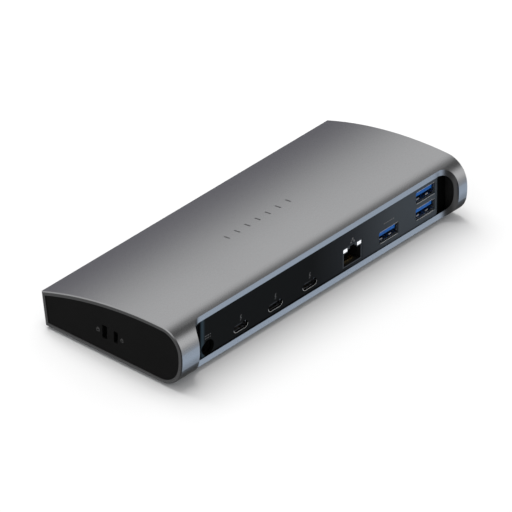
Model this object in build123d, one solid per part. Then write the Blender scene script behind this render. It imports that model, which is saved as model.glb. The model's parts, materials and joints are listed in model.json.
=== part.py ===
from build123d import *
from math import atan2, cos, hypot, pi, sin, sqrt
import os

# Laptop docking station: an extruded metal sleeve on rubber feet, closed by two end caps, with a board and
# ports inside.
#
# Frame: +Z up, origin on the ground under the middle of the body. The user sits at -Y and sees the low front
# face. The rounded back, with the port bay, faces +Y. The lock slots are in the +X end. Lengths are in
# millimetres.

# ---------------------------------------------------------------- driving dimensions
body_length = 200.0
body_depth = 87.0
foot_stand = 1.2

# section of the sleeve, measured from its own underside and from its rear and front extremes
front_height = 17.6
front_undercut = 2.5
crown_setback = 14.6
crown_radius = 215.0
upper_corner_radius = 12.2
rear_radius = 29.7
rear_centre_height = 15.85
lower_corner_radius = 13.0
wall = 2.6

# ends of the sleeve
rim = 2.0
rim_chamfer = 0.45
rebate_depth = 2.5
cap_thickness = 2.2
cap_gap = 0.05
frame_thickness = 3.0
inner_gap = 0.1
peg_places = [(-32.0, 8.0), (-14.0, 16.0), (24.0, 8.0)]
peg_radius = 1.4
peg_length = 2.2

# port bay cut in the rounded back
bay_depth = 6.7
bay_low_margin = 13.6
bay_high_margin = 19.4
bay_end_radius = 7.2

# port panel and its carrier
panel_recess = 0.5
panel_thickness = 1.6
panel_low_tuck = 1.6
panel_high_gap = 1.2
panel_curl = 3.0
panel_flange = 1.2
panel_flange_end_gap = 0.5
panel_gap = 0.15
carrier_thickness = 1.8

# board
board_clearance = 1.8
board_thickness = 1.6
board_end_gap = 12.0
board_front_gap = 1.0
sheet_thickness = 0.25
sheet_margin = 2.0

# fasteners and feet
post_end_inset = 16.0
post_front_inset = 13.5
post_radius = 2.5
thread_radius = 1.25
screw_head_radius = 2.3
screw_head_height = 1.3
foot_radius = 6.5
foot_recess = 0.7
boss_radius = 2.4
boss_hole_radius = 1.05
boss_length = 9.5
boss_wall = 2.2
boss_front_inset = 3.9
roof_boss_setback = 15.0
boss_screw_head = 1.9
boss_screw_length = 9.0

# connectors, standard sizes
usb_a_width = 13.2
usb_a_height = 5.8
usb_a_length = 14.0
usb_a_cut_width = 13.8
usb_a_cut_height = 6.2
usb_a_tongue = (11.2, 2.0, 1.0)
usb_a_tongue_near = 0.4
usb_a_tongue_far = 9.6
usb_a_contact_places = (-3.5, -1.0, 1.0, 3.5)
usb_c_width = 8.94
usb_c_height = 3.26
usb_c_length = 9.0
usb_c_cut_width = 9.7
usb_c_cut_height = 3.9
shell_sheet = 0.3
mouth_recess = 0.9
ethernet_recess = 0.2
ethernet_width = 15.4
ethernet_height = 12.9
ethernet_length = 21.0
ethernet_cut_width = 13.8
ethernet_cut_height = 11.1
ethernet_plug_height = 7.0
dc_cut_radius = 4.0
dc_bore_radius = 3.85
dc_pin_radius = 0.5
dc_length = 14.0
dc_body_width = 10.4
dc_body_height = 10.2
dc_ear = 2.5
audio_bore_radius = 1.8
audio_nose_radius = 2.6
audio_length = 14.0

# port places along X, and heights above the sleeve's inside floor
dc_place = (74.2, 6.25)
usb_c_pitch = 23.9
usb_c_first = (51.7, 6.7)
ethernet_place = (-26.1, 8.9)
usb_a_place = (-51.8, 8.15)
usb_stack_place = (-77.9, 8.8)
usb_stack_pitch = 9.0
host_place = (62.0, 6.7)
usb_a_front_place = (34.0, 7.1)
card_place = (-8.0, 5.2)
audio_place = (-40.0, 6.5)
button_place = (-66.0, 7.0)
light_place = (-57.0, 7.0)

# card slot
card_width = 24.6
card_height = 2.4
card_cover_width = 28.0
card_cover_height = 3.2
card_length = 27.0
card_cover_sheet = 0.3

# power button
button_radius = 2.8
button_gap = 0.15
button_flange_radius = 3.2
button_flange = 0.9
button_stem_radius = 1.0
button_stem = 1.2
button_sink = 0.12
plunger_radius = 1.2
plunger_length = 1.8
light_radius = 0.8

# lock slots in the +X cap: height above the sleeve's underside, and centres measured along the depth
lock_slot_height = 12.0
lock_slot = (3.0, 7.0)
lock_slot_y = -4.3
small_lock_slot = (2.5, 6.0)
small_lock_slot_y = 2.6
lock_plate_size = (20.0, 12.0)
lock_plate_thickness = 1.2

# controller chip, thermal pad and the heat spreader over them
controller_place = (28.0, 0.0)
controller_size = 13.0
controller_height = 1.3
pad_size = 15.0
pad_thickness = 0.8
spreader_high_x = 59.0
spreader_card_gap = 0.5
spreader_half_depth = 11.0
spreader_foot = 3.0
spreader_base = 1.4
spreader_height = 5.0
fin_count = 8
fin_thickness = 1.1

# ---------------------------------------------------------------- derived places
front_y = -body_depth / 2
back_y = body_depth / 2
half_length = body_length / 2
base_z = foot_stand
floor_z = base_z + wall
board_z = floor_z + board_clearance
board_top = board_z + board_thickness
bay_y = back_y - bay_depth
panel_y = bay_y - panel_recess
panel_back_y = panel_y - panel_thickness
carrier_back_y = panel_back_y - carrier_thickness
rear_mouth_y = panel_y - mouth_recess
frame_outer_x = half_length - rebate_depth
frame_inner_x = frame_outer_x - frame_thickness
bay_floor_low_x = -half_length + bay_low_margin
bay_floor_high_x = half_length - bay_high_margin
panel_low_x = bay_floor_low_x - panel_low_tuck
panel_high_x = bay_floor_high_x - panel_high_gap
dc_mouth_y = panel_y - panel_curl - 0.1
low_boss_y = carrier_back_y - boss_radius - 0.1
board_back_y = low_boss_y - boss_radius - 0.2
board_half_length = half_length - board_end_gap
pad_low = board_top + controller_height
pad_top = pad_low + pad_thickness
spreader_low_x = card_place[0] + card_cover_width / 2 + spreader_card_gap
boss_depth = wall + boss_wall
post_x = half_length - post_end_inset
post_back_y = rear_mouth_y - usb_a_length - screw_head_radius - 0.6
posts = [(x, y) for x in (-post_x, post_x) for y in (front_y + post_front_inset, post_back_y)]


# ---------------------------------------------------------------- small helpers
def block(x0, x1, y0, y1, z0, z1):
    centre = Pos((x0 + x1) / 2, (y0 + y1) / 2, (z0 + z1) / 2)
    return centre * Box(x1 - x0, y1 - y0, z1 - z0)


def span(side, inner, outer):
    """The two X values of a slab at one end, in rising order."""
    return sorted((side * inner, side * outer))


def rod_x(y, z, radius, x0, x1):
    plane = Plane(origin=(x0, y, z), x_dir=(0, 1, 0), z_dir=(1, 0, 0))
    return extrude(plane * Circle(radius), x1 - x0)


def rod_y(x, z, radius, y0, y1):
    return prism_y(Circle(radius), x, z, y0, y1)


def rod_z(x, y, radius, z0, z1):
    return extrude(Plane.XY.offset(z0) * Pos(x, y) * Circle(radius), z1 - z0)


def prism_y(sketch, x, z, y0, y1):
    """A sketch drawn in X and Z, centred on x and z, carried from y0 to y1."""
    plane = Plane(origin=(x, y0, z), x_dir=(-1, 0, 0), z_dir=(0, 1, 0))
    return extrude(plane * sketch, y1 - y0)


def prism_x(sketch, y, z, x0, x1):
    """A sketch drawn in Y and Z, centred on y and z, carried from x0 to x1."""
    plane = Plane(origin=(x0, y, z), x_dir=(0, 1, 0), z_dir=(1, 0, 0))
    return extrude(plane * sketch, x1 - x0)


def cone_x(y, z, x0, r0, x1, r1):
    """A cone on an X axis, of radius r0 at x0 and r1 at x1."""
    way = 1 if x1 > x0 else -1
    plane = Plane(origin=((x0 + x1) / 2, y, z), x_dir=(0, 1, 0), z_dir=(way, 0, 0))
    return plane * Cone(r0, r1, abs(x1 - x0))


# ---------------------------------------------------------------- section of the sleeve
def circle_crossing(c1, r1, c2, r2):
    """The higher of the two points where two circles cross."""
    dy, dz = c2[0] - c1[0], c2[1] - c1[1]
    d = hypot(dy, dz)
    along = (r1 * r1 - r2 * r2 + d * d) / (2 * d)
    off = sqrt(r1 * r1 - along * along)
    mid = (c1[0] + along * dy / d, c1[1] + along * dz / d)
    points = [(mid[0] - s * off * dz / d, mid[1] + s * off * dy / d) for s in (1, -1)]
    return max(points, key=lambda p: p[1])


crown_y = back_y - crown_setback
crown_drop = crown_radius - sqrt(crown_radius**2 - (crown_y - front_y) ** 2)
crown_top = base_z + front_height + crown_drop
crown_centre = (crown_y, crown_top - crown_radius)
rear_centre = (back_y - rear_radius, base_z + rear_centre_height)
upper_centre = circle_crossing(
    crown_centre, crown_radius - upper_corner_radius, rear_centre, rear_radius - upper_corner_radius
)
lower_rise = lower_corner_radius - rear_centre_height
lower_centre = (
    rear_centre[0] + sqrt((rear_radius - lower_corner_radius) ** 2 - lower_rise**2),
    base_z + lower_corner_radius,
)


def arc_points(centre, radius, start, end):
    """Start, middle and end of an arc, given by its two end angles."""
    angles = (start, (start + end) / 2, end)
    return [(centre[0] + radius * cos(a), centre[1] + radius * sin(a)) for a in angles]


def direction(a, b):
    return atan2(b[1] - a[1], b[0] - a[0])


def front_face_y(z, inset=0.0):
    """Where the leaning front face, moved inwards by inset, stands at height z."""
    lean = front_undercut / front_height
    return front_y + front_undercut - lean * (z - base_z) + inset * hypot(1, lean)


def section(inset):
    """The sleeve's closed outline, moved inwards by inset, as a face in the YZ plane."""
    low_front = (front_face_y(base_z + inset, inset), base_z + inset)
    radius = crown_radius - inset
    top_z = base_z + front_height
    for _ in range(6):
        top_y = front_face_y(top_z, inset)
        top_z = crown_centre[1] + sqrt(radius**2 - (top_y - crown_centre[0]) ** 2)
    high_front = (front_face_y(top_z, inset), top_z)
    crown_end = direction(crown_centre, upper_centre)
    upper_end = direction(rear_centre, upper_centre)
    rear_end = direction(rear_centre, lower_centre)
    arcs = [
        arc_points(crown_centre, radius, direction(crown_centre, high_front), crown_end),
        arc_points(upper_centre, upper_corner_radius - inset, crown_end, upper_end),
        arc_points(rear_centre, rear_radius - inset, upper_end, rear_end),
        arc_points(lower_centre, lower_corner_radius - inset, rear_end, -pi / 2),
    ]
    arcs[0][0] = high_front
    edges = [Line(low_front, high_front)]
    last = high_front
    for _, middle, end in arcs:
        edges.append(ThreePointArc(last, middle, end))
        last = end
    edges.append(Line(last, low_front))
    return make_face(Wire(edges))


def tube(inset, x0, x1):
    """The sleeve's outline, moved inwards by inset, carried from x0 to x1."""
    return extrude(Plane.YZ.offset(x0) * section(inset), x1 - x0)


def roof_z(y, inset):
    """Height of the crowned roof at depth y, moved inwards by inset."""
    return crown_centre[1] + sqrt((crown_radius - inset) ** 2 - (y - crown_centre[0]) ** 2)


# places of the three screw bosses at each end of the sleeve
roof_boss_y = crown_y - roof_boss_setback
front_boss_y = front_y + wall + boss_front_inset
bosses = [
    (front_boss_y, roof_z(front_boss_y, boss_depth)),
    (roof_boss_y, roof_z(roof_boss_y, boss_depth)),
    (low_boss_y, base_z + boss_depth),
]


# ---------------------------------------------------------------- sleeve
def port_bay():
    """What is milled away at the back: a flat-floored bay whose ends curve out to the rear face."""
    past = back_y + 5.0
    centre_y = bay_y + bay_end_radius
    rise = past - centre_y
    reach = sqrt(max(bay_end_radius**2 - rise**2, 0.0))
    high, low = bay_floor_high_x, bay_floor_low_x
    turn = pi / 4 + atan2(rise, reach) / 2
    bend = (bay_end_radius * sin(turn), -bay_end_radius * cos(turn))
    high_mid = (high + bend[0], centre_y + bend[1])
    low_mid = (low - bend[0], centre_y + bend[1])
    outline = Wire(
        [
            Line((low, bay_y), (high, bay_y)),
            ThreePointArc((high, bay_y), high_mid, (high + reach, past)),
            Line((high + reach, past), (low - reach, past)),
            ThreePointArc((low - reach, past), low_mid, (low, bay_y)),
        ]
    )
    return extrude(Plane.XY.offset(-1) * make_face(outline), crown_top + 5)


def front_openings():
    """The holes through the front face for the ports, the button and the status light."""
    y0, y1 = front_y - 1, front_face_y(base_z, wall) + 0.6
    gap = 0.15
    usb_a = RectangleRounded(usb_a_width + 2 * gap, usb_a_height + 2 * gap, 0.6)
    usb_c = SlotOverall(usb_c_width + 2 * gap, usb_c_height + 2 * gap)
    card = RectangleRounded(card_width, card_height, 0.4)
    cuts = [
        prism_y(usb_a, usb_a_front_place[0], floor_z + usb_a_front_place[1], y0, y1),
        prism_y(usb_c, host_place[0], floor_z + host_place[1], y0, y1),
        prism_y(card, card_place[0], floor_z + card_place[1], y0, y1),
        rod_y(audio_place[0], floor_z + audio_place[1], audio_nose_radius + gap, y0, y1),
        rod_y(button_place[0], floor_z + button_place[1], button_radius + button_gap, y0, y1),
        rod_y(light_place[0], floor_z + light_place[1], light_radius + 0.05, y0, y1),
    ]
    return cuts


def make_sleeve():
    body = tube(0, -half_length, half_length) - tube(wall, -half_length, half_length)
    for side in (-1, 1):
        x0, x1 = span(side, frame_inner_x - boss_length, frame_inner_x)
        for y, z in bosses:
            body += rod_x(y, z, boss_radius, x0, x1) & tube(0.5, x0, x1)
        for y, z in bosses:
            body -= rod_x(y, z, boss_hole_radius, x0, x1)
    for side in (-1, 1):
        x0, x1 = span(side, frame_outer_x, half_length)
        body -= tube(rim, x0, x1)
    body -= port_bay()
    for x, y in posts:
        body -= rod_z(x, y, foot_radius, base_z - 1, base_z + foot_recess)
        body -= rod_z(x, y, thread_radius + 0.15, base_z, floor_z)
        body -= rod_z(x, y, screw_head_radius + 0.15, base_z, base_z + foot_recess + screw_head_height * 0.6)
    for cut in front_openings():
        body -= cut
    edges = [e for e in body.edges() if abs(abs(e.center().X) - half_length) < 1e-3]
    outer = [e for e in edges if not near_inset(e, rim)]
    return chamfer(outer, rim_chamfer)


def near_inset(edge, inset):
    """True if an end edge lies on the inner outline rather than on the outer one."""
    point = edge @ 0.5
    inner = section(inset + 0.3)
    outer = section(inset - 0.3)
    probe = Vertex(0, point.Y, point.Z)
    flat_inner, flat_outer = Plane.YZ * inner, Plane.YZ * outer
    return probe.distance_to(flat_inner) > 1e-6 and probe.distance_to(flat_outer) < 1e-6


# ---------------------------------------------------------------- ends
def lock_slots(x0, x1, grow=0.0):
    z = base_z + lock_slot_height
    wide = RectangleRounded(lock_slot[0] + grow, lock_slot[1] + grow, 0.4)
    small = RectangleRounded(small_lock_slot[0] + grow, small_lock_slot[1] + grow, 0.4)
    return [prism_x(wide, lock_slot_y, z, x0, x1), prism_x(small, small_lock_slot_y, z, x0, x1)]


def make_end_cap(side, with_slots):
    x0, x1 = span(side, frame_outer_x, frame_outer_x + cap_thickness)
    cap = tube(rim + cap_gap, x0, x1)
    for y, z in peg_places:
        p0, p1 = span(side, frame_outer_x - peg_length, frame_outer_x)
        cap += rod_x(y, base_z + z, peg_radius, p0, p1)
    if with_slots:
        for cut in lock_slots(x0 - 1, x1 + 1):
            cap -= cut
    return cap


def make_end_frame(side, with_slots):
    x0, x1 = span(side, frame_inner_x, frame_outer_x)
    frame = tube(wall + inner_gap, x0, x1)
    for y, z in peg_places:
        frame -= rod_x(y, base_z + z, peg_radius + 0.1, x0, x1)
    for y, z in bosses:
        frame -= rod_x(y, z, boss_hole_radius + 0.1, x0, x1)
        frame -= countersink(side, y, z)
    if with_slots:
        y_mid = (lock_slot_y + small_lock_slot_y) / 2
        z_mid = base_z + lock_slot_height
        w, h = lock_plate_size
        pocket = Rectangle(w + 0.2, h + 0.2)
        frame -= prism_x(pocket, y_mid, z_mid, frame_outer_x - lock_plate_thickness, frame_outer_x)
        frame -= prism_x(Rectangle(w - 4, h - 3), y_mid, z_mid, x0, x1)
    return frame


def make_lock_plate():
    y_mid = (lock_slot_y + small_lock_slot_y) / 2
    z_mid = base_z + lock_slot_height
    x0, x1 = frame_outer_x - lock_plate_thickness, frame_outer_x
    plate = prism_x(Rectangle(*lock_plate_size), y_mid, z_mid, x0, x1)
    for cut in lock_slots(x0 - 1, x1 + 1):
        plate -= cut
    return plate


def countersink(side, y, z):
    """The conical seat of an end screw, which is also the shape of its head."""
    bottom = side * (frame_outer_x - screw_head_height)
    return cone_x(y, z, bottom, boss_hole_radius + 0.1, side * frame_outer_x, boss_screw_head)


def make_end_frame_screws():
    screws = []
    for side in (-1, 1):
        x0, x1 = span(side, frame_outer_x - boss_screw_length, frame_outer_x - screw_head_height)
        r0, r1 = span(side, frame_outer_x - 0.8, frame_outer_x)
        for y, z in bosses:
            shank = rod_x(y, z, boss_hole_radius, x0, x1)
            recess = prism_x(RegularPolygon(0.8, 6), y, z, r0, r1)
            screws.append(countersink(side, y, z) + shank - recess)
    return Compound(screws)


# ---------------------------------------------------------------- rear panel
def rear_ports(sketch_dc, sketch_c, sketch_net, sketch_a, y0, y1):
    """One cutter for each rear port, from the sketches given for the four kinds of port."""
    cuts = [prism_y(sketch_dc, dc_place[0], floor_z + dc_place[1], y0, y1)]
    for n in range(3):
        x = usb_c_first[0] - n * usb_c_pitch
        cuts.append(prism_y(sketch_c, x, floor_z + usb_c_first[1], y0, y1))
    cuts.append(prism_y(sketch_net, ethernet_place[0], floor_z + ethernet_place[1], y0, y1))
    cuts.append(prism_y(sketch_a, usb_a_place[0], floor_z + usb_a_place[1], y0, y1))
    for n in range(2):
        z = floor_z + usb_stack_place[1] + n * usb_stack_pitch
        cuts.append(prism_y(sketch_a, usb_stack_place[0], z, y0, y1))
    return cuts


def rounded_slab(x0, x1, y0, y1, radius):
    """A tall slab whose two rear upright edges are rounded."""
    slab = block(x0, x1, y0, y1, base_z, crown_top)
    return fillet(slab.edges().filter_by(Axis.Z).group_by(Axis.Y)[-1], radius)


def make_port_panel():
    """The panel with its curled ends, and flanges beyond them that close the ends of the bay from inside."""
    inner_low, inner_high = panel_low_x + panel_thickness, panel_high_x - panel_thickness
    curl_y = panel_y - panel_curl
    slab = rounded_slab(panel_low_x, panel_high_x, curl_y, panel_y, panel_curl * 0.98)
    slab -= rounded_slab(inner_low, inner_high, curl_y - 1, panel_back_y, panel_curl - panel_thickness)
    flange_end = frame_inner_x - panel_flange_end_gap
    for side, end in ((-1, panel_low_x), (1, panel_high_x)):
        x0, x1 = sorted((end - side * panel_thickness * 0.6, side * flange_end))
        slab += block(x0, x1, curl_y, curl_y + panel_flange, base_z, crown_top)
    plate = slab & tube(wall + panel_gap, -frame_inner_x, frame_inner_x)
    cuts = rear_ports(
        Circle(dc_cut_radius),
        SlotOverall(usb_c_cut_width, usb_c_cut_height),
        Rectangle(ethernet_cut_width, ethernet_cut_height),
        RectangleRounded(usb_a_cut_width, usb_a_cut_height, 0.5),
        curl_y - 1,
        panel_y + 1,
    )
    for cut in cuts:
        plate -= cut
    return plate


def make_panel_carrier():
    x0, x1 = panel_low_x + panel_thickness, panel_high_x - panel_thickness
    plate = rounded_slab(x0, x1, carrier_back_y, panel_back_y, panel_curl - panel_thickness)
    plate &= tube(wall, x0 - 1, x1 + 1)
    gap = 0.4
    ethernet_rise = board_top + ethernet_height / 2 - (floor_z + ethernet_place[1])
    cuts = rear_ports(
        RectangleRounded(dc_body_width + gap, dc_body_height + gap, 0.5),
        SlotOverall(usb_c_width + gap, usb_c_height + gap),
        Pos(0, ethernet_rise) * Rectangle(ethernet_width + gap, ethernet_height + gap),
        Rectangle(usb_a_width + gap, usb_a_height + gap),
        carrier_back_y - 1,
        panel_back_y + 1,
    )
    for cut in cuts:
        plate -= cut
    return plate


# ---------------------------------------------------------------- board
def make_main_board():
    y0 = front_face_y(board_top, wall) + board_front_gap
    board = block(-board_half_length, board_half_length, y0, board_back_y, board_z, board_top)
    x, notch = dc_place[0], dc_body_width / 2 + 0.5
    dc_back = dc_mouth_y - dc_length - 1.0
    board -= block(x - notch, x + notch, dc_back, board_back_y + 1, board_z - 1, board_top + 1)
    for x, y in posts:
        board -= rod_z(x, y, thread_radius + 0.15, board_z - 1, board_top + 1)
    return board


def make_insulating_sheet():
    y0, y1 = front_face_y(floor_z, wall) + sheet_margin, board_back_y - sheet_margin
    sheet = block(-board_half_length, board_half_length, y0, y1, floor_z, floor_z + sheet_thickness)
    for x, y in posts:
        sheet -= rod_z(x, y, post_radius + 0.3, floor_z - 1, floor_z + 1)
    return sheet


def make_board_standoffs():
    solids = []
    for x, y in posts:
        post = rod_z(x, y, post_radius, floor_z, board_z)
        solids.append(post - rod_z(x, y, thread_radius, floor_z, board_z))
    return Compound(solids)


def flat_screw(x, y, z_under_head, way, head_radius, shank_length):
    """A pan-head screw on a Z axis: way is +1 if its head points up and -1 if down."""
    z_top = z_under_head + way * screw_head_height * 0.55
    z0, z1 = sorted((z_under_head, z_top))
    s0, s1 = sorted((z_under_head, z_under_head - way * shank_length))
    r0, r1 = sorted((z_under_head + way * screw_head_height * 0.2, z_top))
    recess = extrude(Plane.XY.offset(r0) * Pos(x, y) * RegularPolygon(0.9, 6), r1 - r0)
    return rod_z(x, y, head_radius, z0, z1) + rod_z(x, y, thread_radius - 0.03, s0, s1) - recess


def make_board_screws():
    reach = board_thickness + board_clearance * 0.45
    return Compound([flat_screw(x, y, board_top, 1, screw_head_radius, reach) for x, y in posts])


def make_base_screws():
    seat = base_z + foot_recess + screw_head_height * 0.6
    reach = floor_z - seat + board_clearance * 0.45
    return Compound([flat_screw(x, y, seat, -1, screw_head_radius, reach) for x, y in posts])


def make_foot(x, y):
    pad = rod_z(x, y, foot_radius - 0.1, 0, base_z + foot_recess)
    rim_edge = pad.edges().filter_by(GeomType.CIRCLE).sort_by(Axis.Z)[0]
    return chamfer(rim_edge, 0.4)


def make_board_chips():
    """Controller, three link chips by the ports, hub, network and power chips, as flat packages."""
    rows = [(*controller_place, controller_size, controller_height)]
    rows += [(-8.0, 4.0, 9.0, 0.9), (-26.0, 5.0, 7.0, 0.9), (70.0, 6.0, 6.0, 0.9)]
    for n in range(3):
        rows.append((usb_c_first[0] - n * usb_c_pitch, 20.0, 4.0, 0.8))
    solids = []
    for x, y, size, height in rows:
        half = size / 2
        solids.append(block(x - half, x + half, y - half, y + half, board_top, board_top + height))
    return Compound(solids)


def make_thermal_pad():
    (x, y), half = controller_place, pad_size / 2
    return block(x - half, x + half, y - half, y + half, pad_low, pad_top)


def make_heat_spreader():
    x0, x1 = spreader_low_x, spreader_high_x
    y0, y1 = -spreader_half_depth, spreader_half_depth
    top = pad_top + spreader_height
    spreader = block(x0, x1, y0, y1, pad_top, pad_top + spreader_base)
    pitch = (y1 - y0 - fin_thickness) / (fin_count - 1)
    for n in range(fin_count):
        y = y0 + n * pitch
        spreader += block(x0, x1, y, y + fin_thickness, pad_top + spreader_base, top)
    for x in (x0, x1 - spreader_foot):
        for y in (y0, y1 - spreader_foot):
            spreader += block(x, x + spreader_foot, y, y + spreader_foot, board_top, pad_top)
    return spreader


def make_power_inductors():
    solids = []
    for x, y in ((66.0, -6.0), (76.0, -6.0), (-62.0, 2.0)):
        coil = block(x - 3.6, x + 3.6, y - 3.6, y + 3.6, board_top, board_top + 4.2)
        solids.append(chamfer(coil.edges().filter_by(Axis.Z), 1.2))
    return Compound(solids)


def make_filter_capacitors():
    return Compound([rod_z(x, 2.0, 3.15, board_top, board_top + 7.7) for x in (-50.0, -42.0, -34.0)])


# ---------------------------------------------------------------- connectors
class Port:
    """Builds connector pieces from a mouth at mouth_y: way is +1 at the back of the dock, -1 at the front."""

    def __init__(self, place, mouth_y, way):
        self.x = place[0]
        self.z = floor_z + place[1]
        self.mouth = mouth_y
        self.way = way

    def prism(self, sketch, near, far, dx=0.0, dz=0.0):
        """A sketch carried from near to far behind the mouth, shifted by dx and dz."""
        y0, y1 = sorted((self.mouth - self.way * near, self.mouth - self.way * far))
        return prism_y(sketch, self.x + dx, self.z + dz, y0, y1)

    def pedestal(self, width, top_z, near, far):
        """A block from the board up to top_z."""
        y0, y1 = sorted((self.mouth - self.way * near, self.mouth - self.way * far))
        return block(self.x - width / 2, self.x + width / 2, y0, y1, board_top, top_z)


def usb_a_inner():
    inset = 2 * shell_sheet
    return RectangleRounded(usb_a_width - inset, usb_a_height - inset, 0.3)


def usb_a_shell(port):
    """Sheet-metal shell with the two spring fingers in its floor."""
    shell = port.prism(RectangleRounded(usb_a_width, usb_a_height, 0.6), 0, usb_a_length)
    shell -= port.prism(usb_a_inner(), -1, usb_a_length - shell_sheet)
    low = -usb_a_height / 2 + shell_sheet + 0.15
    for dx in (-3.2, 3.2):
        shell += port.prism(Rectangle(1.8, 0.3), 1.2, 4.7, dx, low)
    return shell


def usb_a_insert(port):
    width, height, lift = usb_a_tongue
    inset = 2 * shell_sheet
    tongue = port.prism(Rectangle(width, height), usb_a_tongue_near, usb_a_tongue_far, 0, lift)
    root = RectangleRounded(usb_a_width - inset - 0.1, usb_a_height - inset - 0.1, 0.3)
    return tongue + port.prism(root, usb_a_tongue_far, usb_a_length - shell_sheet)


def usb_a_contacts(port):
    _, height, lift = usb_a_tongue
    low = lift - height / 2 - 0.06
    return [port.prism(Rectangle(1.0, 0.12), 1.8, 8.4, dx, low) for dx in usb_a_contact_places]


def usb_a_set(port):
    """Shell, blue tongue on its pedestal, and contacts of a single USB-A socket."""
    shell = usb_a_shell(port)
    low = port.z - usb_a_height / 2
    feet = port.pedestal(usb_a_width - 1, low, carrier_gap(port), usb_a_length - 0.5)
    return shell, usb_a_insert(port), feet, Compound(usb_a_contacts(port))


def carrier_gap(port):
    """How far behind its mouth a pedestal starts, so that it clears the panel carrier or the front wall."""
    return panel_thickness + carrier_thickness + 3.4 if port.way > 0 else 4.2


def usb_c_set(port):
    """Shell, tongue and contacts of a USB-C socket. The tongue's rear block stands on the board."""
    outer = SlotOverall(usb_c_width, usb_c_height)
    inner = SlotOverall(usb_c_width - 2 * shell_sheet, usb_c_height - 2 * shell_sheet)
    shell = port.prism(outer, 0, usb_c_length) - port.prism(inner, -1, usb_c_length)
    low = port.z - usb_c_height / 2
    back = SlotOverall(usb_c_width - 2 * shell_sheet - 0.1, usb_c_height - 2 * shell_sheet - 0.1)
    tongue = port.prism(Rectangle(6.7, 0.7), 0.8, 5.4)
    tongue += port.prism(Rectangle(6.7, 1.3), 4.6, 5.4)
    tongue += port.prism(back, 5.4, usb_c_length + 0.4)
    tongue += port.pedestal(usb_c_width - 1, port.z, usb_c_length + 0.05, usb_c_length + 0.4)
    tongue += port.pedestal(usb_c_width - 2, low, usb_c_length - 3.2, usb_c_length)
    tongue += port.pedestal(usb_c_width - 2, low, usb_c_length, usb_c_length + 0.4)
    strips = []
    for n in range(12):
        dx = (n - 5.5) * 0.5
        for side in (-1, 1):
            strips.append(port.prism(Rectangle(0.26, 0.06), 1.3, 4.4, dx, side * (0.35 + 0.03)))
    return shell, tongue, Compound(strips)


def ethernet_set():
    """Housing with a stepped mouth and a nose through the panel, a shield, eight contacts, two windows."""
    port = Port(ethernet_place, panel_y - ethernet_recess, 1)
    sheet = 0.25
    low = board_top - port.z
    centre = low + ethernet_height / 2
    nose_depth = panel_thickness - ethernet_recess + 0.1
    block_face = Rectangle(ethernet_width - 2 * sheet, ethernet_height - sheet)
    shield_face = Rectangle(ethernet_width, ethernet_height)
    hollow_face = Rectangle(ethernet_width - 2 * sheet, ethernet_height)
    body = port.prism(block_face, nose_depth, ethernet_length, 0, centre - sheet / 2)
    body += port.prism(Rectangle(ethernet_cut_width - 0.3, ethernet_cut_height - 0.3), 0, nose_depth)
    floor = -ethernet_cut_height / 2 + 0.9
    latch_low = floor + ethernet_plug_height
    body -= port.prism(Rectangle(11.9, ethernet_plug_height), -1, 13.5, 0, floor + ethernet_plug_height / 2)
    body -= port.prism(Rectangle(6.2, 1.4), -1, 13.5, 0, latch_low + 0.7)
    body -= port.prism(Rectangle(3.4, 1.2), -1, 13.5, 0, latch_low + 2.0)
    windows = []
    for side in (-1, 1):
        window = port.prism(Rectangle(2.8, 1.8), 0, 6.0, side * 4.85, latch_low + 1.5)
        body -= window
        windows.append(window)
    shield = port.prism(shield_face, nose_depth, ethernet_length + sheet, 0, centre)
    shield -= port.prism(hollow_face, 0, ethernet_length, 0, centre - sheet)
    contacts = []
    for n in range(8):
        dx = (n - 3.5) * 1.02
        contacts.append(port.prism(Rectangle(0.45, 0.5), 2.5, 12.0, dx, floor + 0.25))
    return body, shield, Compound(contacts), Compound(windows)


def dc_set():
    """Round power socket: housing sunk in the board's notch, barrel contact and centre pin."""
    port = Port(dc_place, dc_mouth_y, 1)
    body = port.prism(RectangleRounded(dc_body_width, dc_body_height, 0.5), 0, dc_length)
    body -= port.prism(Circle(dc_bore_radius + 0.25), -1, dc_length - 2.0)
    ring = port.prism(Circle(dc_bore_radius + 0.25), 3.0, dc_length - 2.0)
    ring -= port.prism(Circle(dc_bore_radius), 0, dc_length)
    tip = 2.6
    pin = port.prism(Circle(dc_pin_radius), tip, dc_length - 2.0)
    ear_width = dc_body_width + 2 * dc_ear
    body += ears(port, ear_width) - port.prism(Rectangle(dc_body_width, dc_body_height), 0, dc_length)
    return body, ring, pin


def ears(port, width):
    """A bar across a connector, resting on the board on both sides of its notch."""
    y0, y1 = port.mouth - 10.0, port.mouth - 5.0
    return block(port.x - width / 2, port.x + width / 2, y0, y1, board_top, board_top + 1.4)


def audio_set():
    port = Port(audio_place, front_mouth_y(audio_place), -1)
    nose = port.prism(Circle(audio_nose_radius), 0, 4.0)
    width, low = 7.0, board_top - port.z
    height = 2 * audio_nose_radius + 0.9
    body = nose + port.prism(Rectangle(width, height), 4.0, audio_length, 0, low + height / 2)
    body -= port.prism(Circle(audio_bore_radius), -1, audio_length - 0.8)
    springs = []
    for side in (-1, 1):
        body -= port.prism(Rectangle(0.8, 1.6), 6.0, 11.0, side * (audio_bore_radius + 0.1))
        springs.append(port.prism(Rectangle(0.5, 1.6), 6.0, 11.0, side * (audio_bore_radius + 0.25)))
    return body, Compound(springs)


def front_mouth_y(place):
    """Where a front connector's mouth stands: just inside the leaning front face."""
    return front_face_y(floor_z + place[1]) + 0.5


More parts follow.
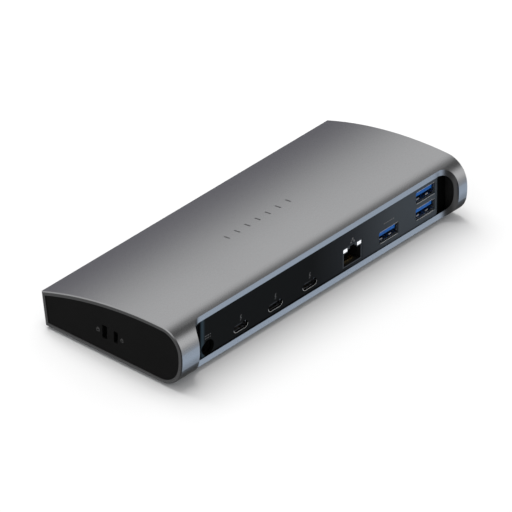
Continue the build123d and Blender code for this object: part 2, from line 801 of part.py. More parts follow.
def card_set():
    """Card slot: sheet-metal cover over a plastic base, with nine contacts."""
    port = Port(card_place, front_face_y(board_top, wall) + board_front_gap + 0.2, -1)
    low = board_top - port.z
    middle = low + card_cover_height / 2
    outer_face = Rectangle(card_cover_width, card_cover_height)
    hollow_face = Rectangle(card_cover_width - 2 * card_cover_sheet, card_cover_height)
    cover = port.prism(outer_face, 0, card_length, 0, middle)
    cover -= port.prism(hollow_face, -1, card_length + 1, 0, middle - card_cover_sheet)
    base_height = 0.6
    inner = card_cover_width - 2 * card_cover_sheet - 0.1
    base = port.prism(Rectangle(inner, base_height), 0, card_length, 0, low + base_height / 2)
    for side in (-1, 1):
        width = (inner - card_width) / 2
        dx = side * (card_width + width) / 2
        base += port.prism(Rectangle(width, 2.2), 0, card_length, dx, low + base_height + 1.1)
    base += port.prism(Rectangle(inner, 2.2), card_length - 2.5, card_length, 0, low + base_height + 1.1)
    contacts = []
    for n in range(9):
        dx = (n - 4) * 2.4
        height = low + base_height + 0.125
        contacts.append(port.prism(Rectangle(1.1, 0.25), 16.0, card_length - 2.5, dx, height))
    return cover, base, Compound(contacts)


# ---------------------------------------------------------------- power button
def button_set():
    """Button, the switch plunger that it pushes, the switch and the status light pipe."""
    x, z = button_place[0], floor_z + button_place[1]
    flange_y = front_face_y(z - button_flange_radius, wall) + 0.35
    stem_y = flange_y + button_flange
    button = rod_y(x, z, button_radius, front_y - 1, flange_y) & tube(button_sink, x - 10, x + 10)
    button += rod_y(x, z, button_flange_radius, flange_y, stem_y)
    button += rod_y(x, z, button_stem_radius, stem_y, stem_y + button_stem)
    plunger_y = stem_y + button_stem
    plunger = rod_y(x, z, plunger_radius, plunger_y, plunger_y + plunger_length)
    switch_y = plunger_y + 0.7
    switch = block(x - 3.0, x + 3.0, switch_y, switch_y + 4.0, board_top, z + 3.0)
    switch -= rod_y(x, z, plunger_radius + 0.1, switch_y - 1, switch_y + plunger_length)
    lx, lz = light_place[0], floor_z + light_place[1]
    pipe_end = front_face_y(lz, wall) + 6.0
    pipe = rod_y(lx, lz, light_radius, front_y - 1, pipe_end) & tube(0.05, lx - 5, lx + 5)
    pipe += block(lx - 1.2, lx + 1.2, pipe_end, pipe_end + 2.0, board_top, lz + 1.2)
    return button, plunger, switch, pipe


# ---------------------------------------------------------------- everything, by node name
def all_parts():
    parts = {
        "sleeve": make_sleeve(),
        "end_cap_lock_side": make_end_cap(1, True),
        "end_cap_plain_side": make_end_cap(-1, False),
        "end_frame_lock_side": make_end_frame(1, True),
        "end_frame_plain_side": make_end_frame(-1, False),
        "end_frame_screws": make_end_frame_screws(),
        "lock_plate": make_lock_plate(),
        "port_panel": make_port_panel(),
        "panel_carrier": make_panel_carrier(),
        "main_board": make_main_board(),
        "insulating_sheet": make_insulating_sheet(),
        "board_standoffs": make_board_standoffs(),
        "board_screws": make_board_screws(),
        "base_screws": make_base_screws(),
        "board_chips": make_board_chips(),
        "thermal_pad": make_thermal_pad(),
        "heat_spreader": make_heat_spreader(),
        "power_inductors": make_power_inductors(),
        "filter_capacitors": make_filter_capacitors(),
    }
    corners = ("front_plain", "back_plain", "front_lock", "back_lock")
    for corner, (x, y) in zip(corners, posts):
        parts[f"foot_{corner}"] = make_foot(x, y)

    for n in range(3):
        place = (usb_c_first[0] - n * usb_c_pitch, usb_c_first[1])
        add_usb_c(parts, f"usb_c_port_{n + 1}", Port(place, rear_mouth_y, 1))
    add_usb_c(parts, "host_port", Port(host_place, front_mouth_y(host_place), -1))

    add_usb_a(parts, "usb_a_rear", Port(usb_a_place, rear_mouth_y, 1))
    add_usb_a(parts, "usb_a_front", Port(usb_a_front_place, front_mouth_y(usb_a_front_place), -1))
    add_usb_stack(parts)

    body, shield, contacts, windows = ethernet_set()
    parts["ethernet_housing"] = body
    parts["ethernet_shield"] = shield
    parts["ethernet_contacts"] = contacts
    parts["ethernet_lights"] = windows
    parts["dc_jack_housing"], parts["dc_jack_barrel"], parts["dc_jack_pin"] = dc_set()
    parts["audio_jack_housing"], parts["audio_jack_springs"] = audio_set()
    parts["card_slot_cover"], parts["card_slot_base"], parts["card_slot_contacts"] = card_set()
    button, plunger, switch, pipe = button_set()
    parts["power_button"] = button
    parts["switch_plunger"] = plunger
    parts["power_switch"] = switch
    parts["status_light_pipe"] = pipe
    return parts


def add_usb_c(parts, name, port):
    shell, tongue, contacts = usb_c_set(port)
    parts[f"{name}_shell"] = shell
    parts[f"{name}_tongue"] = tongue
    parts[f"{name}_contacts"] = contacts


def add_usb_a(parts, name, port):
    shell, insert, feet, contacts = usb_a_set(port)
    parts[f"{name}_shell"] = shell + feet
    parts[f"{name}_tongue"] = insert
    parts[f"{name}_contacts"] = contacts


def add_usb_stack(parts):
    """Two USB-A sockets in one shell, one above the other."""
    lower = Port(usb_stack_place, rear_mouth_y, 1)
    upper = Port((usb_stack_place[0], usb_stack_place[1] + usb_stack_pitch), rear_mouth_y, 1)
    shell = usb_a_shell(lower) + usb_a_shell(upper)
    gap_low = lower.z + usb_a_height / 2
    gap_high = upper.z - usb_a_height / 2
    near = carrier_gap(lower)
    y0, y1 = rear_mouth_y - usb_a_length, rear_mouth_y - near
    half = usb_a_width / 2 - 0.5
    shell += block(lower.x - half, lower.x + half, y0, y1, gap_low, gap_high)
    shell += lower.pedestal(2 * half, lower.z - usb_a_height / 2, near, usb_a_length)
    parts["usb_a_stack_shell"] = shell
    parts["usb_a_stack_tongues"] = Compound([usb_a_insert(lower), usb_a_insert(upper)])
    parts["usb_a_stack_contacts"] = Compound(usb_a_contacts(lower) + usb_a_contacts(upper))


if __name__ == "__main__":
    os.makedirs("parts", exist_ok=True)
    for name, shape in all_parts().items():
        export_step(shape, f"parts/{name}.step")
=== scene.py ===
import bmesh
import bpy
import json
import math
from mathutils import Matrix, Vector
from mathutils.bvhtree import BVHTree


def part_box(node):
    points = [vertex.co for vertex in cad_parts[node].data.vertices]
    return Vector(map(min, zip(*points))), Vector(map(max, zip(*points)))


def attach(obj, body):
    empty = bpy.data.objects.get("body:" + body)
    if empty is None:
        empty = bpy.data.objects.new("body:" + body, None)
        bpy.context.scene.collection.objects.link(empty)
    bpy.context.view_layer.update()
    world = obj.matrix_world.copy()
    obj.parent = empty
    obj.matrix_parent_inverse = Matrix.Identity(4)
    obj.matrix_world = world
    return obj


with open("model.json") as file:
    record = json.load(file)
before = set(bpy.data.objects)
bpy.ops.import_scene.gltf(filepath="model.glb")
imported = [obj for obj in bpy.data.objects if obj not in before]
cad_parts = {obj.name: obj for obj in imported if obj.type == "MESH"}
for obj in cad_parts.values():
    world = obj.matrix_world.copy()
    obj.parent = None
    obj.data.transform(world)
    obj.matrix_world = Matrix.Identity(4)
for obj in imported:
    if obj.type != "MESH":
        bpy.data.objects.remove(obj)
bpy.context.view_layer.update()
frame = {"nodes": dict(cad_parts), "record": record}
nodes = frame["nodes"]
scene = bpy.context.scene


# ---------------------------------------------------------------- sizes that the looks need
MM = 0.001

# How far a mark stands off the surface that it lies on.
MARK_STAND_OFF = 0.03 * MM

# The panel's curled ends reach past the carrier by the thickness of the panel. The painted reflection on a
# curl runs a little way on to its flange before it ends.
PANEL_SHEET = 1.6 * MM
CURL_PAINTED_REFLECTION_OVERRUN = 0.6 * MM

panel_low, panel_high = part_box("port_panel")
carrier_low, carrier_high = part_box("panel_carrier")
curl_low_x = carrier_low.x - PANEL_SHEET
curl_high_x = carrier_high.x + PANEL_SHEET
USB_C_SHELLS = [f"usb_c_port_{n}_shell" for n in (1, 2, 3)]


def centre_of(node):
    low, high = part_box(node)
    return (low + high) / 2


def mount_place(name):
    mount = next(m for m in frame["record"]["mounts"] if m["name"] == name)
    return Vector(mount["pos_m"])


def grey(value):
    return (value, value, value)


# ---------------------------------------------------------------- shader helpers
def fill_ramp(node, stops):
    """Sets a colour ramp's stops, each a place from 0 to 1 and a colour."""
    elements = node.color_ramp.elements
    while len(elements) < len(stops):
        elements.new(0.5)
    for element, (place, colour) in zip(elements, stops):
        element.position = place
        element.color = (*colour, 1.0)


class Shader:
    """A Principled material with short helpers for the procedural nodes that feed it."""

    def __init__(self, name, **constants):
        self.material = bpy.data.materials.new(name)
        self.material.use_nodes = True
        self.tree = self.material.node_tree
        self.bsdf = self.tree.nodes["Principled BSDF"]
        for key, value in constants.items():
            self.bsdf.inputs[key.replace("_", " ")].default_value = value
        self.place = self.tree.nodes.new("ShaderNodeTexCoord").outputs["Object"]

    def link(self, a, b):
        self.tree.links.new(a, b)

    def stretched(self, scale):
        """Object coordinates scaled along each axis, for brushed and drawn surfaces."""
        node = self.tree.nodes.new("ShaderNodeMapping")
        node.inputs["Scale"].default_value = scale
        self.link(self.place, node.inputs["Vector"])
        return node.outputs["Vector"]

    def noise(self, scale, detail=3.0, rough=0.5, place=None):
        node = self.tree.nodes.new("ShaderNodeTexNoise")
        node.inputs["Scale"].default_value = scale
        node.inputs["Detail"].default_value = detail
        node.inputs["Roughness"].default_value = rough
        self.link(place or self.place, node.inputs["Vector"])
        return node.outputs["Fac"]

    def cells(self, scale):
        node = self.tree.nodes.new("ShaderNodeTexVoronoi")
        node.inputs["Scale"].default_value = scale
        self.link(self.place, node.inputs["Vector"])
        return node.outputs["Distance"]

    def axis(self, name):
        node = self.tree.nodes.new("ShaderNodeSeparateXYZ")
        self.link(self.place, node.inputs["Vector"])
        return node.outputs[name]

    def spread(self, value, low, high, to_low=0.0, to_high=1.0):
        node = self.tree.nodes.new("ShaderNodeMapRange")
        self.link(value, node.inputs["Value"])
        node.inputs["From Min"].default_value = low
        node.inputs["From Max"].default_value = high
        node.inputs["To Min"].default_value = to_low
        node.inputs["To Max"].default_value = to_high
        return node.outputs["Result"]

    def math(self, kind, a, b):
        node = self.tree.nodes.new("ShaderNodeMath")
        node.operation = kind
        for value, socket in ((a, node.inputs[0]), (b, node.inputs[1])):
            if isinstance(value, (int, float)):
                socket.default_value = value
            else:
                self.link(value, socket)
        return node.outputs[0]

    def share(self, first, second, part):
        """The given part of the first pattern, and the rest of the second."""
        return self.math(
            "ADD", self.math("MULTIPLY", first, part), self.math("MULTIPLY", second, 1.0 - part)
        )

    def ramp(self, value, *stops):
        node = self.tree.nodes.new("ShaderNodeValToRGB")
        fill_ramp(node, stops)
        self.link(value, node.inputs["Fac"])
        return node.outputs["Color"]

    def colour(self, value):
        self.link(value, self.bsdf.inputs["Base Color"])

    def roughness(self, value, low, high):
        self.link(self.spread(value, 0.3, 0.7, low, high), self.bsdf.inputs["Roughness"])

    def bump(self, height, strength, distance):
        node = self.tree.nodes.new("ShaderNodeBump")
        node.inputs["Strength"].default_value = strength
        node.inputs["Distance"].default_value = distance
        self.link(height, node.inputs["Height"])
        self.link(node.outputs["Normal"], self.bsdf.inputs["Normal"])


def moulded(name, dark, light, rough=(0.45, 0.6), grain=2600.0, **constants):
    """Moulded plastic or rubber: a fine spark-eroded grain with a slow change of tone under it."""
    s = Shader(name, **constants)
    fine = s.noise(grain, 4.0)
    slow = s.noise(45.0, 2.0)
    s.colour(s.ramp(s.share(fine, slow, 0.6), (0.35, dark), (0.65, light)))
    s.roughness(fine, *rough)
    s.bump(fine, 0.35, 0.03 * MM)
    return s.material


def worked_metal(name, dark, light, rough=(0.22, 0.36), stretch=(60.0, 2600.0, 2600.0)):
    """Drawn or rolled metal: fine lines along one axis."""
    s = Shader(name, Metallic=1.0)
    lines = s.noise(1.0, 4.0, 0.6, s.stretched(stretch))
    slow = s.noise(60.0, 2.0)
    s.colour(s.ramp(s.share(lines, slow, 0.7), (0.35, dark), (0.65, light)))
    s.roughness(lines, *rough)
    s.bump(lines, 0.3, 0.01 * MM)
    return s.material


# ---------------------------------------------------------------- materials
def anodised_sleeve():
    """Blasted and anodised aluminium: an even fine grain, with a faint slow change of tone."""
    s = Shader("sleeve_anodised", Metallic=1.0)
    grain = s.noise(5200.0, 3.0, 0.6)
    slow = s.noise(14.0, 2.0)
    dark, light = (0.345, 0.347, 0.353), (0.385, 0.387, 0.393)
    s.colour(s.ramp(s.share(grain, slow, 0.65), (0.3, dark), (0.7, light)))
    s.roughness(grain, 0.24, 0.32)
    s.bump(grain, 0.25, 0.012 * MM)
    return s.material


def satin_panel_with_painted_reflections():
    """Satin black with painted reflections: a painted slate reflection that grows toward -X, a painted slate
    reflection on the curl at +X, and a black flange at each end.
    """
    s = Shader("panel_satin_painted_reflections", Specular_IOR_Level=0.03)
    fine = s.noise(3800.0, 3.0)
    slow = s.noise(18.0, 2.0)
    along = s.spread(s.axis("X"), curl_high_x, curl_low_x - CURL_PAINTED_REFLECTION_OVERRUN)
    waver = s.math("MULTIPLY", s.math("SUBTRACT", slow, 0.5), 0.0015)
    # The slate stops are painted reflection, not the panel's own colour: the band from 0.0075 to 0.013 on the
    # +X curl, and the rise from 0.46 to 0.9955 toward -X.
    s.colour(
        s.ramp(
            s.math("ADD", along, waver),
            (0.0, (0.004, 0.004, 0.0045)),
            (0.0045, (0.004, 0.004, 0.0045)),
            (0.0075, (0.040, 0.066, 0.088)),
            (0.013, (0.036, 0.055, 0.070)),
            (0.017, (0.0052, 0.0052, 0.0045)),
            (0.46, (0.0052, 0.0052, 0.0047)),
            (0.62, (0.019, 0.021, 0.024)),
            (0.8, (0.053, 0.061, 0.070)),
            (0.9955, (0.062, 0.074, 0.088)),
            (1.0, grey(0.003)),
        )
    )
    s.roughness(fine, 0.34, 0.42)
    s.bump(fine, 0.15, 0.01 * MM)
    return s.material


def solder_mask():
    """Green board: a masked surface over raised copper, with the glass weave showing at its finest scale."""
    s = Shader("board_mask", Coat_Weight=0.4, Coat_Roughness=0.2)
    copper = s.cells(260.0)
    weave = s.noise(2400.0, 2.0)
    s.colour(s.ramp(copper, (0.12, (0.008, 0.09, 0.035)), (0.35, (0.004, 0.045, 0.02))))
    s.roughness(weave, 0.32, 0.45)
    s.bump(s.share(copper, weave, 0.7), 0.3, 0.04 * MM)
    return s.material


def lit_window():
    """The pale windows of the socket and status lights, glowing faintly."""
    s = Shader("light_window", Emission_Strength=0.35)
    s.bsdf.inputs["Emission Color"].default_value = (0.95, 0.97, 1.0, 1.0)
    fine = s.noise(900.0, 2.0)
    s.colour(s.ramp(fine, (0.3, (0.78, 0.8, 0.82)), (0.7, (0.92, 0.93, 0.95))))
    s.roughness(fine, 0.2, 0.35)
    s.bump(fine, 0.2, 0.02 * MM)
    return s.material


MATERIALS = {
    "sleeve": anodised_sleeve(),
    "cap": moulded("cap_black", grey(0.0042), grey(0.0065), (0.5, 0.62), Specular_IOR_Level=0.2),
    "inner": moulded("inner_black", grey(0.006), grey(0.012), (0.6, 0.75), 1500.0),
    "panel": satin_panel_with_painted_reflections(),
    "zinc": worked_metal("zinc_steel", (0.42, 0.43, 0.45), (0.62, 0.63, 0.65)),
    "board": solder_mask(),
    "chip": moulded("chip_body", (0.012, 0.012, 0.013), (0.03, 0.03, 0.031), (0.4, 0.55), 3500.0),
    "housing": moulded("housing_black", grey(0.006), grey(0.011), (0.35, 0.5)),
    "pad": moulded("thermal_pad", (0.34, 0.38, 0.44), (0.45, 0.49, 0.55), (0.7, 0.85), 900.0),
    "spreader": worked_metal("extruded_aluminium", (0.62, 0.62, 0.63), (0.78, 0.78, 0.79)),
    "can": worked_metal(
        "capacitor_can", (0.55, 0.56, 0.58), (0.7, 0.71, 0.73), stretch=(900.0, 900.0, 90.0)
    ),
    "rubber": moulded("foot_rubber", grey(0.012), grey(0.024), (0.75, 0.9), 1200.0),
    "shell": worked_metal(
        "nickel_shell", (0.5, 0.51, 0.53), (0.68, 0.69, 0.71), stretch=(900.0, 60.0, 900.0)
    ),
    "blue": moulded(
        "usb_blue", (0.004, 0.092, 0.37), (0.010, 0.14, 0.52), (0.4, 0.5), 1800.0, Specular_IOR_Level=0.2
    ),
    "gold": worked_metal("gold_contact", (0.80, 0.58, 0.25), (0.93, 0.71, 0.36), (0.18, 0.3)),
    "window": lit_window(),
    "button": moulded("button_black", grey(0.012), grey(0.02), (0.35, 0.5)),
    "print": moulded("printed_mark", (0.10, 0.10, 0.102), (0.15, 0.15, 0.152), (0.5, 0.65), 4000.0),
    # Pale bands round the sockets: painted highlights.
    "edge_highlight": moulded("painted_edge_highlight", (0.50, 0.50, 0.49), (0.66, 0.66, 0.65), (0.3, 0.4), 3000.0),
    "engraved": moulded(
        "engraved_mark", (0.030, 0.030, 0.032), (0.050, 0.050, 0.053), (0.5, 0.65), 5000.0
    ),
}

LOOK_BY_NODE = {
    "sleeve": "sleeve",
    "port_panel": "panel",
    "panel_carrier": "inner",
    "insulating_sheet": "inner",
    "lock_plate": "inner",
    "main_board": "board",
    "board_chips": "chip",
    "power_inductors": "chip",
    "thermal_pad": "pad",
    "heat_spreader": "spreader",
    "filter_capacitors": "can",
    "power_button": "button",
    "switch_plunger": "button",
    "power_switch": "housing",
    "ethernet_housing": "housing",
    "dc_jack_housing": "housing",
    "audio_jack_housing": "housing",
    "card_slot_base": "housing",
    "card_slot_cover": "shell",
    "ethernet_shield": "shell",
    "ethernet_lights": "window",
    "status_light_pipe": "window",
    "dc_jack_barrel": "shell",
    "dc_jack_pin": "shell",
    "audio_jack_springs": "gold",
}

# For the other nodes, the first of these words that is in the node's name gives its look.
LOOK_BY_WORD = (
    ("end_cap", "cap"),
    ("end_frame_screws", "zinc"),
    ("end_frame", "inner"),
    ("screws", "zinc"),
    ("standoffs", "zinc"),
    ("foot_", "rubber"),
    ("contacts", "gold"),
    ("shell", "shell"),
    ("usb_a", "blue"),
)


def look_of(name):
    if name in LOOK_BY_NODE:
        return LOOK_BY_NODE[name]
    for word, look in LOOK_BY_WORD:
        if word in name:
            return look
    return "housing"


for name, obj in nodes.items():
    obj.data.materials.clear()
    obj.data.materials.append(MATERIALS[look_of(name)])


# ---------------------------------------------------------------- drawing the marks
def flat_piece(name, outlines, to_world, look):
    """Thin marks: each outline is a list of (u, v) points in metres, laid on a surface by to_world."""
    mesh = bpy.data.meshes.new(name)
    bm = bmesh.new()
    for outline in outlines:
        bm.faces.new([bm.verts.new(to_world(u, v)) for u, v in outline])
    bmesh.ops.triangulate(bm, faces=bm.faces[:])
    bm.to_mesh(mesh)
    bm.free()
    piece = bpy.data.objects.new(name, mesh)
    scene.collection.objects.link(piece)
    piece.data.materials.append(MATERIALS[look])
    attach(piece, "dock")


def stroke(u0, v0, u1, v1, width):
    """A straight stroke of the given width, as one four-sided outline."""
    du, dv = u1 - u0, v1 - v0
    length = math.hypot(du, dv)
    nu, nv = -dv / length * width / 2, du / length * width / 2
    return [(u0 + nu, v0 + nv), (u0 - nu, v0 - nv), (u1 - nu, v1 - nv), (u1 + nu, v1 + nv)]


def joined(points, width):
    """Strokes from each point to the next."""
    return [stroke(*points[k], *points[k + 1], width) for k in range(len(points) - 1)]


def shifted(outlines, u, v, scale=MM):
    return [[(u + a * scale, v + b * scale) for a, b in outline] for outline in outlines]


def padlock():
    """A padlock drawn in outline: half a ring on an open body."""
    arc = [(0.55 * math.cos(a), 0.35 + 0.75 * math.sin(a)) for a in [math.pi * k / 6 for k in range(7)]]
    body = [(-0.8, -1.0), (0.8, -1.0), (0.8, 0.3), (-0.8, 0.3), (-0.8, -1.0)]
    return joined(arc, 0.2) + joined(body, 0.22)


# The drawn marks, in millimetres about their own middle.
BOLT = [
    stroke(0.28, 1.15, -0.32, 0.02, 0.24),
    stroke(-0.36, 0.05, 0.36, -0.05, 0.2),
    stroke(0.32, -0.02, -0.28, -1.15, 0.24),
]
NETWORK_SIGN = [
    [(-0.5, 0.5), (0.5, 0.5), (0.5, 1.3), (-0.5, 1.3)],
    [(-1.5, -1.3), (-0.6, -1.3), (-0.6, -0.5), (-1.5, -0.5)],
    [(0.6, -1.3), (1.5, -1.3), (1.5, -0.5), (0.6, -0.5)],
    stroke(-1.1, 0.0, 1.1, 0.0, 0.25),
    stroke(0.0, 0.0, 0.0, 0.5, 0.25),
]
LEGEND = [stroke(a, 0.0, a + 0.8, 0.0, 0.55) for a in (-3.6, -2.4, -1.2, 0.4, 1.6, 2.8)]
SHORT_LEGEND = LEGEND[:4]

# Where the marks stand: a rise is above the middle of a socket, a height above the panel's lower edge.
BOLT_RISE = 4.9 * MM
BOLT_SCALE = 1.35 * MM
NETWORK_SIGN_RISE = 3.8 * MM
SINGLE_LEGEND_HEIGHT = 14.2 * MM
STACK_LEGEND_HEIGHT = 4.6 * MM
JACK_LEGEND_RISES = (5.4 * MM, 6.7 * MM)
JACK_LEGEND_ASIDE = 0.8 * MM
JACK_LEGEND_SCALE = 0.8 * MM

# Painted highlights round the sockets, pale bands that stand for lit edges: the lower edge of a USB-C slot,
# and the two long edges of a USB-A mouth.
SLOT_WIDTH = 9.75 * MM
SLOT_HEIGHT = 3.95 * MM
SLOT_HIGHLIGHT = 0.16 * MM
SLOT_CORNER_STROKES = 6
MOUTH_HALF_WIDTH = 6.3 * MM
MOUTH_HEIGHT = 6.35 * MM
MOUTH_TOP_ABOVE_SHELL = 0.3 * MM
MOUTH_TOP_HIGHLIGHT = 0.13 * MM
MOUTH_LOW_HIGHLIGHT = 0.17 * MM
STACK_PITCH = 9.0 * MM

# The padlocks stand outside the two lock slots, with a smaller one at the smaller slot.
LARGE_LOCK_GAP = 4.1 * MM
SMALL_LOCK_GAP = 3.8 * MM
SMALL_LOCK_SCALE = 0.85 * MM

# The row of bars on the top.
TOP_BARS = 7
TOP_BAR_FIRST = -21.0 * MM
TOP_BAR_PITCH = 7.1 * MM
TOP_BAR_FRONT = -0.9 * MM
TOP_BAR_BACK = 2.7 * MM
TOP_BAR_WIDTH = 0.75 * MM
ABOVE_EVERYTHING = 0.2

cap_face_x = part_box("end_cap_lock_side")[1].x
sleeve_tree = BVHTree.FromObject(nodes["sleeve"], bpy.context.evaluated_depsgraph_get())


def on_panel(u, v):
    """Marks on the panel are drawn as seen from behind, so u runs toward -X."""
    return Vector((-u, panel_high.y + MARK_STAND_OFF, v))


def on_cap(u, v):
    return Vector((cap_face_x + MARK_STAND_OFF, u, v))


def on_top(u, v):
    hit = sleeve_tree.ray_cast(Vector((u, v, ABOVE_EVERYTHING)), Vector((0, 0, -1)))[0]
    return hit + Vector((0, 0, MARK_STAND_OFF))


# ---------------------------------------------------------------- printed and engraved marks
def panel_marks():
    """A bolt over each USB-C socket, a sign over the Ethernet one, and rows of bars at the others."""
    marks = []
    for shell in USB_C_SHELLS:
        port = centre_of(shell)
        marks += shifted(BOLT, -port.x, port.z + BOLT_RISE, BOLT_SCALE)
    lights = centre_of("ethernet_lights")
    marks += shifted(NETWORK_SIGN, -lights.x, lights.z + NETWORK_SIGN_RISE)
    single = centre_of("usb_a_rear_shell")
    marks += shifted(LEGEND, -single.x, panel_low.z + SINGLE_LEGEND_HEIGHT)
    stack = centre_of("usb_a_stack_shell")
    marks += shifted(LEGEND, -stack.x, panel_low.z + STACK_LEGEND_HEIGHT)
    jack = centre_of("dc_jack_pin")
    for rise in JACK_LEGEND_RISES:
        marks += shifted(SHORT_LEGEND, -jack.x + JACK_LEGEND_ASIDE, jack.z + rise, JACK_LEGEND_SCALE)
    flat_piece("panel_marks", marks, on_panel, "print")


def lower_edge_highlight(u, v):
    """The lower half of a slot's edge, as a thin pale band: a painted highlight where the metal shell shows
    round a socket.
    """
    radius, reach = SLOT_HEIGHT / 2, (SLOT_WIDTH - SLOT_HEIGHT) / 2
    angles = [math.pi / 2 * k / SLOT_CORNER_STROKES for k in range(SLOT_CORNER_STROKES + 1)]
    left = [(u - reach - radius * math.cos(a), v - radius * math.sin(a)) for a in angles]
    right = [(u + reach + radius * math.cos(a), v - radius * math.sin(a)) for a in reversed(angles)]
    return joined(left + right, SLOT_HIGHLIGHT)


def mouth_edge_highlights(middle, top):
    """Painted highlights on the two long edges of a USB-A mouth."""
    return [
        stroke(middle - MOUTH_HALF_WIDTH, level, middle + MOUTH_HALF_WIDTH, level, width)
        for level, width in ((top, MOUTH_TOP_HIGHLIGHT), (top - MOUTH_HEIGHT, MOUTH_LOW_HIGHLIGHT))
    ]


# Pale bands on the panel round each socket: painted highlights.
def port_edge_highlights():
    highlights = []
    for shell in USB_C_SHELLS:
        port = centre_of(shell)
        highlights += lower_edge_highlight(-port.x, port.z)
    for shell, drops in (("usb_a_rear_shell", (0.0,)), ("usb_a_stack_shell", (0.0, STACK_PITCH))):
        shell_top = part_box(shell)[1].z
        for drop in drops:
            highlights += mouth_edge_highlights(-centre_of(shell).x, shell_top - drop + MOUTH_TOP_ABOVE_SHELL)
    flat_piece("port_edge_highlights", highlights, on_panel, "edge_highlight")


def lock_marks():
    height = centre_of("lock_plate").z
    large, small = mount_place("security_slot"), mount_place("small_security_slot")
    locks = shifted(padlock(), large.y - LARGE_LOCK_GAP, height)
    locks += shifted(padlock(), small.y + SMALL_LOCK_GAP, height, SMALL_LOCK_SCALE)
    flat_piece("lock_marks", locks, on_cap, "print")


def top_marks():
    places = [TOP_BAR_FIRST + TOP_BAR_PITCH * k for k in range(TOP_BARS)]
    bars = [stroke(u, TOP_BAR_FRONT, u, TOP_BAR_BACK, TOP_BAR_WIDTH) for u in places]
    flat_piece("top_marks", bars, on_top, "engraved")


# ---------------------------------------------------------------- floor
def studio_floor():
    bpy.ops.mesh.primitive_plane_add(size=3.0, location=(0, 0, 0))
    floor = bpy.context.object
    floor.name = "floor"
    s = Shader("floor_pale", Roughness=0.9, Specular_IOR_Level=0.1)
    s.colour(s.ramp(s.noise(3.0, 2.0), (0.3, grey(0.86)), (0.7, grey(0.88))))
    floor.data.materials.append(s.material)
    floor.visible_glossy = False


# ---------------------------------------------------------------- light
# The even light on everything matte.
OPEN_LIGHT = 0.62

# What the metal mirrors on the far side, going once round the body's long axis: (degrees up from the horizon
# at the back, colour). Pale panels of light stand between dark gaps.
FAR_SIDE = (
    (-180, (0.19, 0.185, 0.215)),
    (-150, grey(0.13)),
    (-95, grey(0.08)),
    (-68, grey(0.08)),
    (-58, (0.50, 0.58, 0.68)),
    (-44, (0.88, 1.06, 1.30)),
    (-32, (0.62, 0.72, 0.86)),
    (-20, (0.50, 0.53, 0.58)),
    (-4, grey(0.66)),
    (10, grey(1.08)),
    (30, grey(1.15)),
    (42, grey(0.85)),
    (54, grey(0.22)),
    (66, grey(0.14)),
    (78, grey(0.14)),
    (90, grey(0.28)),
    (106, grey(0.66)),
    (120, grey(0.92)),
    (136, grey(1.08)),
    (146, grey(0.93)),
    (154, grey(0.70)),
    (162, (0.33, 0.325, 0.355)),
    (170, (0.20, 0.195, 0.225)),
    (180, (0.19, 0.185, 0.215)),
)

# What it mirrors on the near side, by height: 0.5 is the horizon, and 1 is straight up.
NEAR_SIDE = (
    (0.1, grey(0.16)),
    (0.35, grey(0.18)),
    (0.5, grey(0.3)),
    (0.72, grey(0.85)),
    (0.9, grey(1.05)),
    (1.0, grey(1.0)),
)

# The dark flag at the back of the near side.
FLAG = (*grey(0.06), 1.0)


def smooth_step(tree, value, low, high):
    node = tree.nodes.new("ShaderNodeMapRange")
    node.interpolation_type = "SMOOTHSTEP"
    tree.links.new(value, node.inputs["Value"])
    node.inputs["From Min"].default_value = low
    node.inputs["From Max"].default_value = high
    return node.outputs["Result"]


def colour_mix(tree, factor, a, b):
    node = tree.nodes.new("ShaderNodeMix")
    node.data_type = "RGBA"
    tree.links.new(factor, node.inputs["Factor"])
    for value, socket in ((a, node.inputs["A"]), (b, node.inputs["B"])):
        if isinstance(value, tuple):
            socket.default_value = value
        else:
            tree.links.new(value, socket)
    return node.outputs["Result"]


def light_ramp(tree, value, half_range, stops):
    """Colour stops over a value that runs from minus half_range to half_range."""
    spread = tree.nodes.new("ShaderNodeMapRange")
    tree.links.new(value, spread.inputs["Value"])
    spread.inputs["From Min"].default_value = -half_range
    spread.inputs["From Max"].default_value = half_range
    node = tree.nodes.new("ShaderNodeValToRGB")
    fill_ramp(node, stops)
    tree.links.new(spread.outputs["Result"], node.inputs["Fac"])
    return node.outputs["Color"]


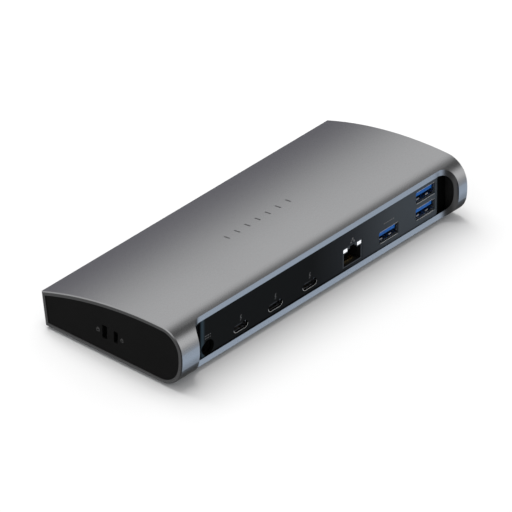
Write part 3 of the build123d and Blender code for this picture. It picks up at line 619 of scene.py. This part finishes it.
def studio_light():
    """A tent of light that only metal and gloss mirror, far side and near side apart, and an even light."""
    world = bpy.data.worlds.new("studio")
    scene.world = world
    world.use_nodes = True
    tree = world.node_tree
    link = tree.links.new
    split = tree.nodes.new("ShaderNodeSeparateXYZ")
    link(tree.nodes.new("ShaderNodeTexCoord").outputs["Generated"], split.inputs["Vector"])
    turn = tree.nodes.new("ShaderNodeMath")
    turn.operation = "ARCTAN2"
    link(split.outputs["Z"], turn.inputs[0])
    link(split.outputs["Y"], turn.inputs[1])
    far = light_ramp(tree, turn.outputs[0], math.pi, [((a + 180) / 360, c) for a, c in FAR_SIDE])
    open_near = light_ramp(tree, split.outputs["Z"], 1.0, NEAR_SIDE)
    near = colour_mix(tree, smooth_step(tree, split.outputs["Y"], 0.0, 0.5), open_near, FLAG)
    tent = colour_mix(tree, smooth_step(tree, split.outputs["X"], -0.35, 0.25), far, near)
    glossy = tree.nodes.new("ShaderNodeLightPath").outputs["Is Glossy Ray"]
    shade = tree.nodes["Background"]
    link(colour_mix(tree, glossy, (*grey(OPEN_LIGHT), 1.0), tent), shade.inputs["Color"])
    shade.inputs["Strength"].default_value = 1.0


def softbox(name, place, side, power):
    """A square lamp in metres and watts, aimed at the origin. No reflection shows it."""
    data = bpy.data.lights.new(name, "AREA")
    data.shape = "RECTANGLE"
    data.size, data.size_y = side, side
    data.energy = power
    lamp = bpy.data.objects.new(name, data)
    lamp.location = place
    lamp.rotation_euler = (Vector() - Vector(place)).to_track_quat("-Z", "Y").to_euler()
    lamp.visible_glossy = False
    scene.collection.objects.link(lamp)


# ---------------------------------------------------------------- camera
# The direction to the camera, in degrees: round from -Y toward +X, and up from the floor.
CAMERA_AZIMUTH = 131.583
CAMERA_ELEVATION = 32.564
CAMERA_AIM = (3.143 * MM, 2.488 * MM, 11.2 * MM)
CAMERA_DISTANCE = 4191.5 * MM
CAMERA_LENS = 636.1
CAMERA_SENSOR = 36.0


def photo_camera():
    azimuth, elevation = math.radians(CAMERA_AZIMUTH), math.radians(CAMERA_ELEVATION)
    back = Vector(
        (
            math.sin(azimuth) * math.cos(elevation),
            -math.cos(azimuth) * math.cos(elevation),
            math.sin(elevation),
        )
    )
    data = bpy.data.cameras.new("camera")
    data.sensor_width = CAMERA_SENSOR
    data.lens = CAMERA_LENS
    data.clip_start, data.clip_end = 0.1, 20.0
    camera = bpy.data.objects.new("camera", data)
    camera.location = Vector(CAMERA_AIM) + back * CAMERA_DISTANCE
    camera.rotation_euler = (-back).to_track_quat("-Z", "Y").to_euler()
    scene.collection.objects.link(camera)
    scene.camera = camera


panel_marks()
port_edge_highlights()
lock_marks()
top_marks()
studio_floor()
studio_light()
softbox("overhead", (0, 0, 2.0), 0.8, 11.5)
softbox("key", (-0.08, -0.75, 1.3), 1.0, 10.0)
photo_camera()
scene.view_settings.view_transform = "Standard"

bpy.context.view_layer.update()
